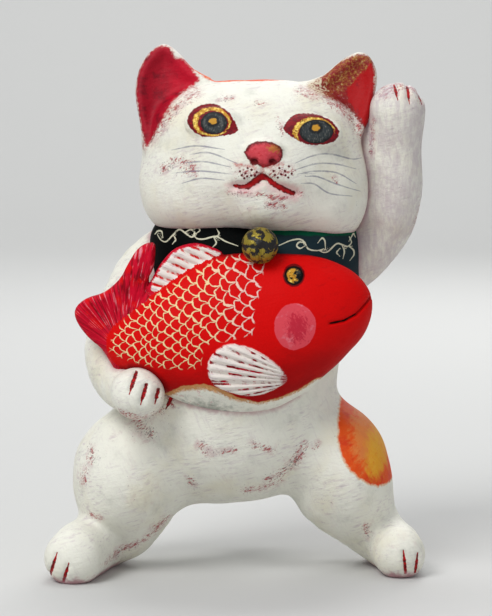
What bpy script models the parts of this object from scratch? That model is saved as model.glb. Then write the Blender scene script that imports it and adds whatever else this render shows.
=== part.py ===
"""A ceramic beckoning cat that holds a red sea bream, and the bell at its throat.

The figure is a free form. It is written as a few dozen lumps, limbs and plates, placed in
shares of its own height: x to the viewer's right, y away from the viewer, z up from the
ground. Each shape gives the distance to its surface, the shapes are blended into each other
as clay is, and a skin is drawn over the whole.
"""
import math

import bmesh
import bpy
import numpy as np

# Driving sizes, in metres
HEIGHT = 0.246             # ground to the tip of the taller ear
BELL_DIAMETER = 0.0165
BELL_SLOT = 0.0014         # width of the mouth of the bell
BELL_SLOT_DEPTH = 0.0022
BELL_SUNK = 0.0012         # how deep the bell is pressed into the clay behind it
BELL_GAP = 0.0003          # clearance between the bell and its seat
SKIN_VOXEL = 0.0015        # the figure's skin is closed at this fineness
KEPT_FACES = 0.061         # share of the skin's faces that the figure keeps

# Measures of the free form, in shares of its height
EAR_TIP = 98.4             # height of the taller ear's tip, in shares
SHARE = HEIGHT / EAR_TIP
MIDDLE = (-0.2, -0.8, 0.0)  # the figure's origin: under the middle of its box
GRID = 0.8                 # spacing of the grid that the skin is read from
LOW_CORNER = (-38.0, -29.0, -2.0)
HIGH_CORNER = (38.0, 27.0, 101.0)
THROAT = (4.2, 62.3)       # x and z of the bell's middle

WHITE_GLAZE = (0.80, 0.78, 0.72, 1.0)
BELL_GOLD = (0.45, 0.34, 0.08, 1.0)


# Shapes: each takes points and gives the distance to its surface, less than nought inside
def turned(p, centre, turn):
    """The points in the axes of a shape that is turned by (x, y, z) degrees about its centre."""
    cx, cy, cz = (math.cos(math.radians(a)) for a in turn)
    sx, sy, sz = (math.sin(math.radians(a)) for a in turn)
    about_x = np.array(((1, 0, 0), (0, cx, -sx), (0, sx, cx)))
    about_y = np.array(((cy, 0, sy), (0, 1, 0), (-sy, 0, cy)))
    about_z = np.array(((cz, -sz, 0), (sz, cz, 0), (0, 0, 1)))
    return (p - np.array(centre)) @ (about_z @ about_y @ about_x)


def pebble(p, centre, radii, turn=(0, 0, 0), power=2.0):
    """A rounded lump: an ellipsoid, or one that a higher power makes boxier seen from the front."""
    x, y, z = np.moveaxis(np.abs(turned(p, centre, turn)) / np.array(radii) + 1e-6, -1, 0)
    front = (x ** power + z ** power) ** (1 / power)
    size = np.hypot(front, y)
    slope_x = (x / front) ** (power - 1) * front / (size * radii[0])
    slope_z = (z / front) ** (power - 1) * front / (size * radii[2])
    slope_y = y / (size * radii[1])
    return (size - 1) / np.sqrt(slope_x ** 2 + slope_y ** 2 + slope_z ** 2)


def curve_through(knots, steps=4):
    """Points on a smooth curve through the knots, each knot a place and a radius."""
    ends = np.vstack([2 * knots[0] - knots[1], knots, 2 * knots[-1] - knots[-2]])
    t = np.arange(steps)[:, None] / steps
    rows = [b + 0.5 * t * (c - a + t * (2 * a - 5 * b + 4 * c - d + t * (3 * (b - c) + d - a)))
            for a, b, c, d in zip(ends, ends[1:], ends[2:], ends[3:])]
    return np.vstack(rows + [knots[-1:]])


def limb(p, joints, radii):
    """A rounded limb that bends through its joints and swells or tapers between them."""
    nearest = np.full(p.shape[:-1], 1e3)
    stations = curve_through(np.column_stack([joints, radii]))
    for start, end in zip(stations, stations[1:]):
        run = end[:3] - start[:3]
        off = p - start[:3]
        along = np.clip((off @ run) / (run @ run), 0, 1)
        off = off - along[..., None] * run
        radius = start[3] + (end[3] - start[3]) * along
        nearest = np.minimum(nearest, np.sqrt((off ** 2).sum(axis=-1)) - radius)
    return nearest


def to_line(p, points):
    """Distance, seen from the front, to a line through (x, z) points."""
    nearest = np.full(p.shape[:-1], 1e6)
    for (x0, z0), (x1, z1) in zip(points, points[1:]):
        dx, dz = x1 - x0, z1 - z0
        off_x, off_z = p[..., 0] - x0, p[..., 2] - z0
        along = np.clip((off_x * dx + off_z * dz) / (dx * dx + dz * dz), 0, 1)
        nearest = np.minimum(nearest, np.hypot(off_x - along * dx, off_z - along * dz))
    return nearest


def in_outline(p, outline):
    """Distance, seen from the front, to a closed outline of (x, z) points."""
    inside = np.zeros(p.shape[:-1], bool)
    closed = outline + outline[:1]
    for (x0, z0), (x1, z1) in zip(closed, closed[1:]):
        if z0 != z1:
            crosses = (z0 <= p[..., 2]) != (z1 <= p[..., 2])
            inside ^= crosses & (p[..., 0] < x0 + (p[..., 2] - z0) * (x1 - x0) / (z1 - z0))
    return np.where(inside, -1, 1) * to_line(p, closed)


def rounded(outline, steps=3):
    """A closed outline with its corners drawn as smooth curves."""
    ring = np.array(outline[-1:] + outline + outline[:2])
    t = np.arange(steps)[:, None] / steps
    rows = [b + 0.5 * t * (c - a + t * (2 * a - 5 * b + 4 * c - d + t * (3 * (b - c) + d - a)))
            for a, b, c, d in zip(ring, ring[1:], ring[2:], ring[3:])]
    return [tuple(point) for point in np.vstack(rows)]


def plate(p, outline, middle, half, edge):
    """A plate of that outline with rounded edges, at its middle depth."""
    a = in_outline(p, outline) + edge
    b = np.abs(p[..., 1] - middle) - half + edge
    return np.minimum(np.maximum(a, b), 0) + np.hypot(np.maximum(a, 0), np.maximum(b, 0)) - edge


# Ways to put shapes together
def blend(a, b, reach):
    """Both shapes, with a fillet of about this reach where they meet."""
    h = np.clip(0.5 + 0.5 * (b - a) / reach, 0, 1)
    return b + (a - b) * h - reach * h * (1 - h)


def scoop(a, b, reach):
    """The first shape less the second, with a rounded edge."""
    return -blend(-a, b, reach)


def common(a, b, reach):
    """What both shapes share, with a rounded edge."""
    return -blend(-a, -b, reach)


def score(f, p, points, width, depth, behind=0.0):
    """A groove pressed into the front of a shape along a line."""
    groove = depth * np.exp(-(to_line(p, points) / width) ** 2)
    return f + np.where(p[..., 1] < behind, groove, 0)


def fan_ribs(f, p, hinge, pitch_deg, height, within):
    """Ribs that spread like a fan from a hinge point, inside an outline's distance."""
    angle = np.degrees(np.arctan2(p[..., 2] - hinge[1], p[..., 0] - hinge[0]))
    fade = np.clip(-within / 0.8, 0, 1)
    return f + height * fade * np.cos(2 * math.pi * angle / pitch_deg)


# The head
LEFT_EAR = rounded([(-16.0, 77.5), (-18.0, 84.0), (-18.8, 89.5), (-18.1, 93.8), (-15.9, 97.0), (-13.6, 98.4),
                    (-11.4, 97.2), (-8.0, 93.6), (-4.4, 90.4), (-8.0, 79.0)])
RIGHT_EAR = rounded([(11.6, 89.6), (16.2, 92.6), (19.4, 95.2), (22.4, 96.8), (24.8, 95.9), (26.0, 92.3),
                     (25.4, 88.0), (23.4, 82.0), (20.0, 79.5), (15.0, 81.0)])
MOUTH = [(-0.3, 73.0), (3.1, 73.3), (4.9, 74.5), (7.4, 73.2), (10.5, 71.8)]
PHILTRUM = [(4.6, 77.0), (4.8, 74.5)]


def ear(p, outline):
    """An upright ear, thicker at its root, dished in front inside a soft rim."""
    half = 2.3 + 0.24 * (96 - p[..., 2])
    shell = plate(p, outline, 0.0, half, 1.4)
    from_rim = np.maximum(-in_outline(p, outline) - 0.5, 0)
    dish = 1.5 * (1 - np.exp(-(from_rim / 1.9) ** 2))
    return shell + np.where(p[..., 1] < 0, dish, 0)


def face(p, f):
    """Muzzle, chin, nose, mouth and the low mounds of the eyes."""
    f = blend(f, pebble(p, (4.7, -13.2, 75.0), (9.0, 6.2, 5.4)), 5)
    f = blend(f, pebble(p, (5.0, -13.4, 69.2), (6.5, 5.0, 4.0)), 3)
    f = blend(f, pebble(p, (4.8, -18.2, 79.3), (3.5, 2.2, 1.9), power=2.3), 0.9)
    f = blend(f, pebble(p, (4.7, -18.6, 77.9), (1.7, 1.9, 1.6)), 0.8)
    for x in (3.2, 6.4):
        f = scoop(f, pebble(p, (x, -20.2, 77.6), (0.8, 1.2, 0.55)), 0.4)
    f = score(f, p, MOUTH, 0.8, 0.8)
    f = score(f, p, PHILTRUM, 0.6, 0.35)
    f = blend(f, pebble(p, (-4.3, -14.1, 84.2), (5.3, 1.8, 3.1), turn=(-18, 0, -8)), 0.7)
    return blend(f, pebble(p, (14.0, -13.9, 82.6), (5.4, 1.8, 3.2), turn=(-16, 2, 14)), 0.7)


def head(p):
    f = pebble(p, (3.1, 0.0, 77.2), (20.4, 17.6, 14.5), power=2.8)
    f = blend(f, pebble(p, (-5.5, -1.5, 71.3), (12.0, 14.0, 9.2), power=2.4), 4)
    f = blend(f, pebble(p, (11.9, -1.5, 70.2), (12.3, 14.0, 9.4), power=2.6), 4)
    f = face(p, f)
    for outline in (LEFT_EAR, RIGHT_EAR):
        f = blend(f, ear(p, outline), 1.4)
    return f


# The body
def torso(p):
    chest = pebble(p, (1.6, 0.5, 47.0), (18.2, 15.5, 17.0), power=2.3)
    belly = pebble(p, (-1.0, -0.5, 30.0), (20.0, 17.0, 17.9), turn=(0, -6, 0), power=2.3)
    return blend(chest, belly, 5)


def left_leg(p):
    f = pebble(p, (-20.8, -3.5, 18.0), (10.0, 12.5, 12.2), turn=(0, 8, 0))
    f = blend(f, limb(p, [(-19.0, -2.0, 15.0), (-22.0, -1.0, 8.2)], [8.8, 7.2]), 3)
    foot = limb(p, [(-25.9, 2.0, 3.8), (-28.2, -8.0, 4.6), (-30.0, -15.2, 4.4)], [5.0, 5.6, 5.4])
    f = blend(f, foot, 2.2)
    for toe in ([(-32.9, 5.6), (-34.1, 1.9)], [(-30.7, 3.9), (-31.6, 0.9)]):
        f = score(f, p, toe, 0.45, 0.5, behind=-14.0)
    return f


def right_leg(p):
    f = pebble(p, (20.0, -2.5, 18.8), (8.9, 12.0, 12.8), turn=(0, -16, 0))
    f = blend(f, limb(p, [(18.8, -2.0, 15.0), (24.8, -1.0, 8.0)], [8.0, 5.9]), 3)
    foot = limb(p, [(28.2, 2.0, 3.6), (29.6, -5.0, 4.2), (30.2, -10.8, 4.2)], [4.6, 5.0, 4.8])
    f = blend(f, foot, 3)
    for toe in ([(30.7, 5.2), (31.1, 1.6)], [(33.3, 4.5), (33.0, 1.5)]):
        f = score(f, p, toe, 0.45, 0.5, behind=-11.0)
    return f


def bob_tail(p):
    """The short tail behind, which curls up the cat's back."""
    return limb(p, [(1.0, 13.0, 17.0), (2.0, 18.0, 21.0), (4.0, 19.5, 26.0)], [4.5, 4.2, 3.8])


def raised_arm(p):
    """The beckoning arm. A web of clay ties it to the side of the head."""
    joints = [(14.0, 3.0, 54.5), (21.0, 3.5, 57.8), (26.6, 2.0, 63.6), (29.3, -1.0, 70.5),
              (29.5, -3.0, 80.0), (29.8, -4.2, 86.2)]
    f = limb(p, joints, [6.5, 6.2, 5.8, 5.2, 4.8, 5.1])
    web = limb(p, [(24.6, -0.6, 67.0), (24.8, -1.4, 84.0)], [2.6, 2.2])
    f = blend(f, web, 1.5)
    for toe in ([(29.1, 90.6), (29.3, 88.7)], [(31.4, 90.9), (31.4, 87.9)], [(33.5, 89.6), (33.7, 88.0)]):
        f = score(f, p, toe, 0.4, 0.4, behind=-3.0)
    return f


def holding_arm(p):
    """The arm that comes round the fish's tail and holds it from below."""
    joints = [(-10.0, 3.0, 57.5), (-14.4, 2.0, 54.2), (-18.6, -1.5, 48.0), (-21.2, -5.0, 41.5),
              (-21.0, -9.5, 37.0), (-19.2, -15.5, 35.2)]
    f = limb(p, joints, [7.8, 8.4, 7.7, 7.1, 5.6, 4.3])
    f = blend(f, pebble(p, (-18.0, -19.2, 35.3), (4.9, 4.8, 4.8)), 0.8)
    for toe in ([(-18.2, 39.1), (-19.1, 36.3)], [(-16.3, 37.2), (-17.1, 34.4)], [(-14.2, 36.1), (-14.6, 34.4)]):
        f = score(f, p, toe, 0.5, 0.6, behind=-18.0)
    return f


def collar(p):
    """The wide neck band."""
    return pebble(p, (3.2, -0.5, 57.2), (19.7, 16.8, 11.0), power=4.0)


# The sea bream
TAIL_FIN = rounded([(-19.0, 40.5), (-21.8, 38.9), (-23.8, 42.1), (-27.2, 45.0), (-29.3, 48.0), (-29.5, 50.2),
                    (-27.6, 52.0), (-24.2, 53.2), (-21.6, 55.4), (-19.9, 58.2), (-18.2, 61.0), (-16.3, 62.2),
                    (-14.9, 61.8), (-15.1, 58.0), (-16.2, 55.0), (-15.0, 48.0)])
DORSAL_FIN = rounded([(-15.8, 53.6), (-15.0, 56.6), (-13.4, 59.2), (-11.0, 61.4), (-7.4, 62.3), (-4.2, 61.6),
                      (-2.6, 60.2), (-6.0, 57.0), (-12.0, 52.0)])
SIDE_FIN = rounded([(9.0, 38.3), (7.2, 41.0), (3.2, 43.8), (-1.2, 44.9), (-4.2, 43.0), (-5.1, 40.4),
                    (-4.0, 37.4), (0.2, 35.6), (4.2, 35.4), (7.6, 36.9)])
FISH_MOUTH = [(16.8, 48.4), (19.3, 48.8), (21.5, 49.8), (22.6, 50.8), (24.2, 52.4)]


def bream_body(p):
    f = pebble(p, (1.1, -14.5, 46.0), (18.9, 9.2, 15.0), turn=(0, -10, 0), power=1.9)
    f = blend(f, pebble(p, (-8.0, -14.5, 44.6), (16.0, 6.5, 8.2), turn=(0, -3, 0)), 5)
    return blend(f, pebble(p, (12.4, -14.5, 50.0), (12.4, 7.5, 9.5), turn=(0, -6, 0)), 4.6)


def bream(p):
    """The fish with its tail, back fin and side fin, its eye and the crease of its mouth."""
    body = bream_body(p)
    lean = 0.1 * (p[..., 0] + 18.0)
    tail = plate(p, TAIL_FIN, -13.9 - lean, 2.8 + lean, 1.2)
    tail = fan_ribs(tail, p, (-20.5, 42.6), 14.0, 0.2, in_outline(p, TAIL_FIN))
    back_fin = plate(p, DORSAL_FIN, -14.8, 1.9, 0.9)
    back_fin = fan_ribs(back_fin, p, (45.0, 36.0), 2.1, 0.25, in_outline(p, DORSAL_FIN))
    side = in_outline(p, SIDE_FIN)
    side_fin = common(body - 1.2, side, 0.6)
    side_fin = fan_ribs(side_fin, p, (13.0, 37.9), 7.5, 0.25, side)
    side_fin = np.maximum(side_fin, p[..., 1] + 14.0)
    f = blend(body, tail, 1.5)
    f = blend(f, back_fin, 0.8)
    f = blend(f, side_fin, 0.4)
    f = blend(f, pebble(p, (10.3, -20.2, 57.0), (1.8, 1.5, 1.8)), 0.3)
    return score(f, p, FISH_MOUTH, 0.4, 0.6, behind=-14.0)


def cat(p):
    """The whole figure."""
    f = blend(torso(p), left_leg(p), 5)
    f = blend(f, right_leg(p), 3.8)
    f = blend(f, bob_tail(p), 2)
    f = blend(f, raised_arm(p), 2.5)
    f = blend(f, collar(p), 1.0)
    f = blend(f, holding_arm(p), 2.0)
    f = blend(f, head(p), 0.8)
    return blend(f, bream(p), 0.6)


# The skin over the figure
def skin(field, low, high, step):
    """The surface where a field is nought, as points and four-sided faces.

    Every cell of a grid that the surface crosses gets one point, at the mean of the places
    where it cuts the cell's edges, and every grid edge that it cuts gets the face between
    the four cells around that edge.
    """
    axes = [np.arange(a, b + step, step) for a, b in zip(low, high)]
    values = field(np.stack(np.meshgrid(*axes, indexing="ij"), axis=-1))
    inside = values < 0
    cells = [n - 1 for n in values.shape]

    def at_corner(grid, corner):
        return grid[tuple(slice(c, c + n) for c, n in zip(corner, cells))]

    within = sum(at_corner(inside, corner).astype(int) for corner in np.ndindex(2, 2, 2))
    active = (within > 0) & (within < 8)
    cuts = np.zeros(cells)
    place = np.zeros(cells + [3])
    for axis in range(3):
        for across in np.ndindex(2, 2):
            start = list(across)
            start.insert(axis, 0)
            end = list(start)
            end[axis] = 1
            a, b = at_corner(values, start), at_corner(values, end)
            cut = (a < 0) != (b < 0)
            share = np.where(cut, a / np.where(cut, a - b, 1), 0)
            for k in range(3):
                place[..., k] += np.where(cut, share if k == axis else start[k], 0)
            cuts += cut
    number = np.full(cells, -1)
    number[active] = np.arange(active.sum())
    points = np.array(low) + step * (np.argwhere(active) + place[active] / cuts[active][:, None])

    faces = []
    for axis in range(3):
        u, v = (axis + 1) % 3, (axis + 2) % 3
        near = np.take(inside, range(inside.shape[axis] - 1), axis)
        far = np.take(inside, range(1, inside.shape[axis]), axis)
        for leaves in (True, False):
            at = np.argwhere((near == leaves) & (far != leaves))
            ring = []
            for du, dv in ((0, 0), (1, 0), (1, 1), (0, 1)):
                cell = at.copy()
                cell[:, u] -= du
                cell[:, v] -= dv
                ring.append(number[tuple(cell.T)])
            ring = np.stack(ring, axis=1)
            faces.append(ring if leaves else ring[:, ::-1])
    return points, np.concatenate(faces)


def settle(field, points, rounds=3, step=0.02):
    """Draws points onto the surface of a field."""
    for _ in range(rounds):
        slope = np.stack([(field(points + step * axis) - field(points - step * axis)) / (2 * step)
                          for axis in np.eye(3)], axis=-1)
        size = np.maximum((slope ** 2).sum(axis=-1), 0.25)
        points = points - slope * np.clip(field(points) / size, -GRID / 2, GRID / 2)[:, None]
    return points


# The objects
def new_object(name, mesh):
    thing = bpy.data.objects.new(name, mesh)
    bpy.context.scene.collection.objects.link(thing)
    return thing


def material(name, colour, roughness, metallic=0.0):
    made = bpy.data.materials.new(name)
    made.use_nodes = True
    shader = made.node_tree.nodes["Principled BSDF"]
    shader.inputs["Base Color"].default_value = colour
    shader.inputs["Roughness"].default_value = roughness
    shader.inputs["Metallic"].default_value = metallic
    return made


def ball_mesh(name, radius, centre, around, rows):
    """A closed ball that stands on its pole."""
    mesh = bpy.data.meshes.new(name)
    shape = bmesh.new()
    bmesh.ops.create_uvsphere(shape, u_segments=around, v_segments=rows, radius=radius)
    bmesh.ops.translate(shape, verts=shape.verts, vec=centre)
    shape.to_mesh(mesh)
    shape.free()
    return mesh


def box_mesh(name, low, high):
    mesh = bpy.data.meshes.new(name)
    shape = bmesh.new()
    made = bmesh.ops.create_cube(shape, size=1.0)
    size = [b - a for a, b in zip(low, high)]
    middle = [(a + b) / 2 for a, b in zip(low, high)]
    bmesh.ops.scale(shape, verts=made["verts"], vec=size)
    bmesh.ops.translate(shape, verts=made["verts"], vec=middle)
    shape.to_mesh(mesh)
    shape.free()
    return mesh


def as_cutter(cutter):
    cutter.hide_render = True
    cutter.display_type = "WIRE"
    return cutter


def cut(thing, cutter):
    """Takes the cutter's shape out of a thing."""
    less = thing.modifiers.new("less_" + cutter.name, "BOOLEAN")
    less.operation = "DIFFERENCE"
    less.solver = "EXACT"
    less.object = as_cutter(cutter)


def shade_round(mesh, sharp_deg):
    mesh.shade_smooth()
    mesh.set_sharp_from_angle(angle=math.radians(sharp_deg))


def in_metres(points):
    return (np.asarray(points) - np.array(MIDDLE)) * SHARE


def bell_centre():
    """The bell goes back at the throat until collar, chin or fish stops it, pressed in a little."""
    depths = np.arange(LOW_CORNER[1] - BELL_DIAMETER / SHARE, 0, 0.02)
    way_in = np.stack([np.full_like(depths, THROAT[0]), depths, np.full_like(depths, THROAT[1])], axis=-1)
    stop = (BELL_DIAMETER / 2 - BELL_SUNK) / SHARE
    return in_metres(way_in[np.argmax(cat(way_in) < stop)])


def make_cat():
    points, faces = skin(cat, LOW_CORNER, HIGH_CORNER, GRID)
    points = in_metres(settle(cat, points))
    mesh = bpy.data.meshes.new("cat")
    mesh.from_pydata(points.tolist(), [], faces.tolist())
    thing = new_object("cat", mesh)
    shade_round(mesh, 50)
    mesh.materials.append(material("white_glazed_ceramic", WHITE_GLAZE, 0.45))

    closed = thing.modifiers.new("closed_skin", "REMESH")
    closed.mode = "VOXEL"
    closed.voxel_size = SKIN_VOXEL
    closed.use_smooth_shade = True
    fewer = thing.modifiers.new("fewer_faces", "DECIMATE")
    fewer.ratio = KEPT_FACES

    reach = HEIGHT
    ground = box_mesh("ground", (-reach, -reach, -reach / 4), (reach, reach, 0))
    cut(thing, new_object("ground", ground))
    seat = ball_mesh("bell_seat", BELL_DIAMETER / 2 + BELL_GAP, bell_centre(), 32, 16)
    cut(thing, new_object("bell_seat", seat))
    return thing


def make_bell():
    """A hollow-looking crotal: a ball with the slot of its mouth across the lower front."""
    centre = bell_centre()
    mesh = ball_mesh("bell", BELL_DIAMETER / 2, centre, 28, 14)
    thing = new_object("bell", mesh)
    shade_round(mesh, 40)
    mesh.materials.append(material("gilt_bell", BELL_GOLD, 0.38, 0.8))

    half_slot = BELL_SLOT / 2
    radius = BELL_DIAMETER / 2
    low = (centre[0] - half_slot, centre[1] - radius * 1.1, centre[2] - radius * 1.1)
    high = (centre[0] + half_slot, centre[1] - radius + BELL_SLOT_DEPTH, centre[2])
    cut(thing, new_object("bell_slot", box_mesh("bell_slot", low, high)))
    return thing


for old in list(bpy.data.objects):
    bpy.data.objects.remove(old, do_unlink=True)
make_cat()
make_bell()
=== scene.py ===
"""The ceramic beckoning cat as it looks: fine skins over the form, painted by hand.

The form is the one that the solids have: lumps, limbs and plates placed in shares of the
figure's height, x to the viewer's right, y away from the viewer and z up from the ground.
Here each part of the figure gets a finer skin of its own, with the relief of fins, toes
and face, and paint whose outlines are drawn in the same shares.
"""
import math

import bmesh
import bpy
import numpy as np
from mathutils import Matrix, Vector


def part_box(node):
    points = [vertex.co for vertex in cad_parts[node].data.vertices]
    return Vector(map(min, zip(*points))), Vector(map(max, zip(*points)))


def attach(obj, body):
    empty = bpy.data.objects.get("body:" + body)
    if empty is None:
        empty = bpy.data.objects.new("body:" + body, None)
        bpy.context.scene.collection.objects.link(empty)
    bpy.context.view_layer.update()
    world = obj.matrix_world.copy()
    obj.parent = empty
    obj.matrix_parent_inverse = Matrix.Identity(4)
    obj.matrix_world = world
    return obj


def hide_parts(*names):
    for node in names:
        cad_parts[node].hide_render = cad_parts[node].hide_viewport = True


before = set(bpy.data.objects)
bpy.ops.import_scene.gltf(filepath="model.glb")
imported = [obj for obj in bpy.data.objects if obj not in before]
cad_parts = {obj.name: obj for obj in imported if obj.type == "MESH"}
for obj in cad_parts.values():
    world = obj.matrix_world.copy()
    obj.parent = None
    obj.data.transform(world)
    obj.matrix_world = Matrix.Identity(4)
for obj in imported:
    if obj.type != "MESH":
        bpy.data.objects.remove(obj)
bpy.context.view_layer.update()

# Sizes of the figure, as its solids have them
SHARE = 0.0025                         # one share of the figure's height, in metres
MIDDLE = (-0.2, -0.8, 0.0)             # the frame's origin, in shares

FAR_OFF = 9.0                          # a distance past every painted edge, in shares

# Fineness of the skins, in shares
QUICK = 1.0
HEAD_STEP = 0.275 * QUICK
BODY_STEP = 0.425 * QUICK
COLLAR_STEP = 0.26 * QUICK
FISH_STEP = 0.23 * QUICK


# Shapes: each takes points and gives the distance to its surface, less than nought inside
def turned(p, centre, turn):
    """The points in the axes of a shape that is turned by (x, y, z) degrees about its centre."""
    cx, cy, cz = (math.cos(math.radians(a)) for a in turn)
    sx, sy, sz = (math.sin(math.radians(a)) for a in turn)
    about_x = np.array(((1, 0, 0), (0, cx, -sx), (0, sx, cx)))
    about_y = np.array(((cy, 0, sy), (0, 1, 0), (-sy, 0, cy)))
    about_z = np.array(((cz, -sz, 0), (sz, cz, 0), (0, 0, 1)))
    return (p - np.array(centre)) @ (about_z @ about_y @ about_x)


def pebble(p, centre, radii, turn=(0, 0, 0), power=2.0):
    """A rounded lump: an ellipsoid, or one that a higher power makes boxier seen from the front."""
    x, y, z = np.moveaxis(np.abs(turned(p, centre, turn)) / np.array(radii) + 1e-6, -1, 0)
    front = (x ** power + z ** power) ** (1 / power)
    size = np.hypot(front, y)
    slope_x = (x / front) ** (power - 1) * front / (size * radii[0])
    slope_z = (z / front) ** (power - 1) * front / (size * radii[2])
    slope_y = y / (size * radii[1])
    return (size - 1) / np.sqrt(slope_x ** 2 + slope_y ** 2 + slope_z ** 2)


def smooth(knots, steps):
    """Points on a smooth curve from the second knot to the last but one, which it leaves out."""
    t = np.arange(steps)[:, None] / steps
    return np.vstack([b + 0.5 * t * (c - a + t * (2 * a - 5 * b + 4 * c - d + t * (3 * (b - c) + d - a)))
                      for a, b, c, d in zip(knots, knots[1:], knots[2:], knots[3:])])


def curve_through(knots, steps=4):
    """Points on a smooth curve through the knots."""
    knots = np.asarray(knots, float)
    ends = np.vstack([2 * knots[0] - knots[1], knots, 2 * knots[-1] - knots[-2]])
    return np.vstack([smooth(ends, steps), knots[-1:]])


def limb(p, joints, radii):
    """A rounded limb that bends through its joints and swells or tapers between them."""
    nearest = np.full(p.shape[:-1], 1e3)
    stations = curve_through(np.column_stack([joints, radii]))
    for start, end in zip(stations, stations[1:]):
        run = end[:3] - start[:3]
        off = p - start[:3]
        along = np.clip((off @ run) / (run @ run), 0, 1)
        off = off - along[..., None] * run
        radius = start[3] + (end[3] - start[3]) * along
        nearest = np.minimum(nearest, np.sqrt((off ** 2).sum(axis=-1)) - radius)
    return nearest


def to_line(p, points):
    """Distance, seen from the front, to a line through (x, z) points."""
    nearest = np.full(p.shape[:-1], 1e6)
    for (x0, z0), (x1, z1) in zip(points, points[1:]):
        dx, dz = x1 - x0, z1 - z0
        off_x, off_z = p[..., 0] - x0, p[..., 2] - z0
        along = np.clip((off_x * dx + off_z * dz) / (dx * dx + dz * dz), 0, 1)
        nearest = np.minimum(nearest, np.hypot(off_x - along * dx, off_z - along * dz))
    return nearest


def in_outline(p, outline):
    """Distance, seen from the front, to a closed outline of (x, z) points."""
    inside = np.zeros(p.shape[:-1], bool)
    closed = outline + outline[:1]
    for (x0, z0), (x1, z1) in zip(closed, closed[1:]):
        if z0 != z1:
            crosses = (z0 <= p[..., 2]) != (z1 <= p[..., 2])
            inside ^= crosses & (p[..., 0] < x0 + (p[..., 2] - z0) * (x1 - x0) / (z1 - z0))
    return np.where(inside, -1, 1) * to_line(p, closed)


def rounded(outline, steps=3):
    """A closed outline with its corners drawn as smooth curves."""
    ring = np.array(outline[-1:] + outline + outline[:2])
    return [tuple(point) for point in smooth(ring, steps)]


def plate(p, outline, middle, half, edge):
    """A plate of that outline with rounded edges, at its middle depth."""
    a = in_outline(p, outline) + edge
    b = np.abs(p[..., 1] - middle) - half + edge
    return np.minimum(np.maximum(a, b), 0) + np.hypot(np.maximum(a, 0), np.maximum(b, 0)) - edge


def blend(a, b, reach):
    """Both shapes, with a fillet of about this reach where they meet."""
    h = np.clip(0.5 + 0.5 * (b - a) / reach, 0, 1)
    return b + (a - b) * h - reach * h * (1 - h)


def scoop(a, b, reach):
    """The first shape less the second, with a rounded edge."""
    return -blend(-a, b, reach)


def common(a, b, reach):
    """What both shapes share, with a rounded edge."""
    return -blend(-a, -b, reach)


def score(f, p, lines, width, depth, behind=0.0):
    """Grooves pressed into the front of a shape along lines."""
    for points in lines:
        groove = depth * np.exp(-(to_line(p, points) / width) ** 2)
        f = f + np.where(p[..., 1] < behind, groove, 0)
    return f


def ray(p, hinge, pitch_deg):
    """Which ray of a fan a point is on: a whole number in the middle of each groove."""
    return np.degrees(np.arctan2(p[..., 2] - hinge[1], p[..., 0] - hinge[0])) / pitch_deg


def fan_ribs(f, p, hinge, pitch_deg, height, within):
    """Round ribs with sharp grooves that spread like a fan from a hinge point."""
    fade = np.clip(-within / 0.8, 0, 1)
    rib = np.abs(np.sin(math.pi * ray(p, hinge, pitch_deg))) - 0.5
    return f - 2 * height * fade * rib


def unevenness(p, size, height):
    """The shallow hills that a hand leaves in clay, about so many shares across."""
    x, y, z = np.moveaxis(p * (2 * math.pi / size), -1, 0)
    hills = np.sin(x + 1.3 * np.sin(0.7 * z + 0.4)) * np.sin(0.9 * y + 1.1 * np.sin(0.6 * x))
    return height * (hills + np.sin(1.1 * z + 0.8 * np.sin(0.8 * y) + 0.5 * x))


# The head
LEFT_EAR = rounded([(-16, 77.5), (-18, 84), (-18.8, 89.5), (-18.1, 93.8), (-15.9, 97), (-13.6, 98.4),
    (-11.4, 97.2), (-8, 93.6), (-4.4, 90.4), (-8, 79)])
RIGHT_EAR = rounded([(11.6, 89.6), (16.2, 92.6), (19.4, 95.2), (22.4, 96.8), (24.8, 95.9), (26, 92.3),
    (25.4, 88), (23.4, 82), (20, 79.5), (15, 81)])
MOUTH = [(-0.3, 73), (3.1, 73.3), (4.9, 74.5), (7.4, 73.2), (10.5, 71.8)]
PHILTRUM = [(4.6, 77), (4.8, 74.5)]


def ear_half(p):
    """Half the thickness of an ear, which grows towards its root."""
    return 2.3 + 0.24 * (96 - p[..., 2])


def ear(p, outline):
    """An upright ear, dished in front inside a soft rim."""
    shell = plate(p, outline, 0.0, ear_half(p), 1.4)
    from_rim = np.maximum(-in_outline(p, outline) - 0.5, 0)
    dish = 1.5 * (1 - np.exp(-(from_rim / 1.9) ** 2))
    return shell + np.where(p[..., 1] < 0, dish, 0)


def face(p, f):
    """Muzzle, chin, nose, mouth and the low mounds of the eyes."""
    f = blend(f, pebble(p, (4.7, -13.2, 75.0), (9.0, 6.2, 5.4)), 5)
    f = blend(f, pebble(p, (5.0, -13.4, 69.2), (6.5, 5.0, 4.0)), 3)
    f = blend(f, pebble(p, (4.8, -18.2, 79.3), (3.5, 2.2, 1.9), power=2.3), 0.9)
    f = blend(f, pebble(p, (4.7, -18.6, 77.9), (1.7, 1.9, 1.6)), 0.8)
    for x in (3.2, 6.4):
        f = scoop(f, pebble(p, (x, -20.2, 77.6), (0.8, 1.2, 0.55)), 0.4)
    f = score(f, p, [MOUTH], 0.8, 0.8)
    f = score(f, p, [PHILTRUM], 0.6, 0.35)
    f = blend(f, pebble(p, (-4.3, -14.1, 84.2), (5.3, 1.8, 3.1), turn=(-18, 0, -8)), 0.7)
    return blend(f, pebble(p, (14.0, -13.9, 82.6), (5.4, 1.8, 3.2), turn=(-16, 2, 14)), 0.7)


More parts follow.
